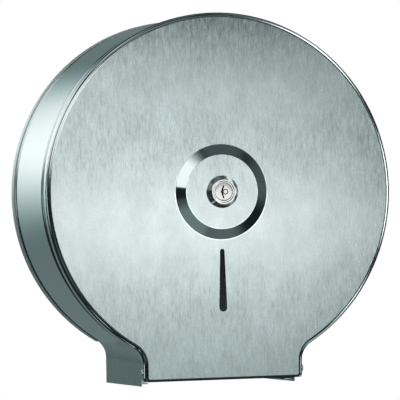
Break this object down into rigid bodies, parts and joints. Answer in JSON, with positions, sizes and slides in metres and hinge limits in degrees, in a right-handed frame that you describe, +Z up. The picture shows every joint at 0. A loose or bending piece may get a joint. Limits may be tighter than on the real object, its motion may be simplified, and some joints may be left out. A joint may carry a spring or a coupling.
{
  "type": "jumbo toilet roll dispenser",
  "caption": "Round wall-mounted jumbo toilet roll dispenser in brushed stainless steel with a hinged locking cover, viewing slot and open chute below.",
  "frame": {"origin": "centre of the wall screw pattern on the back plate's rear face, on the axis of the round case", "axes": "+X to the right seen from the front, +Y into the wall, +Z up; the cover faces -Y"},
  "size_m": [0.27, 0.1275, 0.283],
  "materials": {
    "pan_steel": "brushed",
    "band_steel": "brushed",
    "cheek_steel": "brushed",
    "cover_steel": "brushed, dish slope polished",
    "blade_steel": "cold-rolled",
    "inner_steel": "zinc-plated",
    "pin_steel": "bright",
    "post_alu": "turned",
    "hub_plastic": "moulded",
    "washer_plastic": "moulded",
    "lock_chrome": "polished",
    "plug_chrome": "polished",
    "cam_steel": "zinc-plated"
  },
  "bodies": {
    "body": {"back_pan": "pan_steel", "side_band": "band_steel", "cheek_left": "cheek_steel", "cheek_right": "cheek_steel", "tear_blade_left": "blade_steel", "tear_blade_right": "blade_steel", "spindle_flange": "inner_steel", "flange_rivet_1": "pin_steel", "flange_rivet_2": "pin_steel", "flange_rivet_3": "pin_steel", "flange_rivet_4": "pin_steel", "spindle_post": "post_alu", "thrust_washer": "washer_plastic", "retainer_disc": "inner_steel", "post_screw": "cam_steel", "lock_keeper": "inner_steel", "keeper_screw_left": "cam_steel", "keeper_screw_right": "cam_steel", "hinge_pin_left": "pin_steel", "hinge_pin_right": "pin_steel", "hinge_washer_left": "washer_plastic", "hinge_washer_right": "washer_plastic"},
    "cover": {"cover_shell": "cover_steel", "lock_backing_plate": "inner_steel", "lock_housing": "lock_chrome", "lock_washer": "cam_steel", "lock_nut": "cam_steel"},
    "lock_core": {"lock_plug": "plug_chrome", "lock_cam": "cam_steel", "cam_nut": "cam_steel"},
    "roll_hub": {"core_hub": "hub_plastic"}
  },
  "joints": [
    {"name": "cover_hinge", "type": "hinge", "parent": "body", "child": "cover", "pos_m": [0, -0.1148, -0.1347], "axis": [1, 0, 0], "range_deg": [0, 105]},
    {"name": "lock_turn", "type": "hinge", "parent": "cover", "child": "lock_core", "pos_m": [0, -0.12, 0], "axis": [0, -1, 0], "range_deg": [0, 90]},
    {"name": "hub_spin", "type": "hinge", "parent": "body", "child": "roll_hub", "pos_m": [0, -0.05, 0], "axis": [0, -1, 0], "continuous": true}
  ]
}
